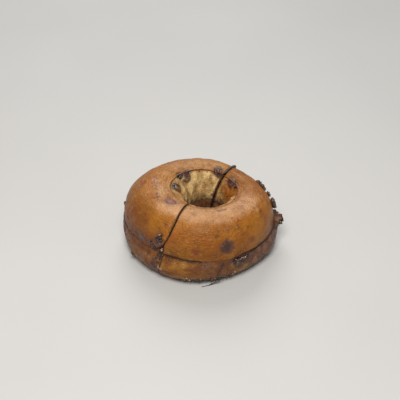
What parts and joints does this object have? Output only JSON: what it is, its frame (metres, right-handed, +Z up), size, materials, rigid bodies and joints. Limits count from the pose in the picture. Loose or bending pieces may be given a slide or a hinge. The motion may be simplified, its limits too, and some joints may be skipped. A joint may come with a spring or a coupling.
{
  "type": "bagel",
  "caption": "Round bread ring with a hole through it, sliced level into a crown and a heel and cut down through the ring, with berries breaking the crust.",
  "frame": {"origin": "middle of the bagel's plan outline, on the surface that it rests on", "axes": "+Z up, from the flat underside to the crown's crest; +X towards the right as it is pictured, along its longest side; +Y away from the viewer"},
  "size_m": [0.109, 0.0982, 0.0443],
  "materials": {
    "crust": "baked crust, golden brown, satin sheen",
    "heel_crust": "baked crust, darker brown, matte",
    "crumb": "open crumb stained by berry juice, matte",
    "blueberry": "baked blueberry, wet and dark"
  },
  "bodies": {
    "root": {"crown_left": "crust", "crown_right": "crust", "heel_left": "heel_crust", "heel_right": "heel_crust", "blueberry_hole_upper": "blueberry", "blueberry_hole_lower": "blueberry", "blueberry_hole_right": "blueberry", "blueberry_back_rim": "blueberry", "blueberry_top": "blueberry", "blueberry_front_left": "blueberry", "blueberry_front": "blueberry", "blueberry_heel_left": "blueberry", "blueberry_heel_right": "blueberry"}
  },
  "joints": []
}
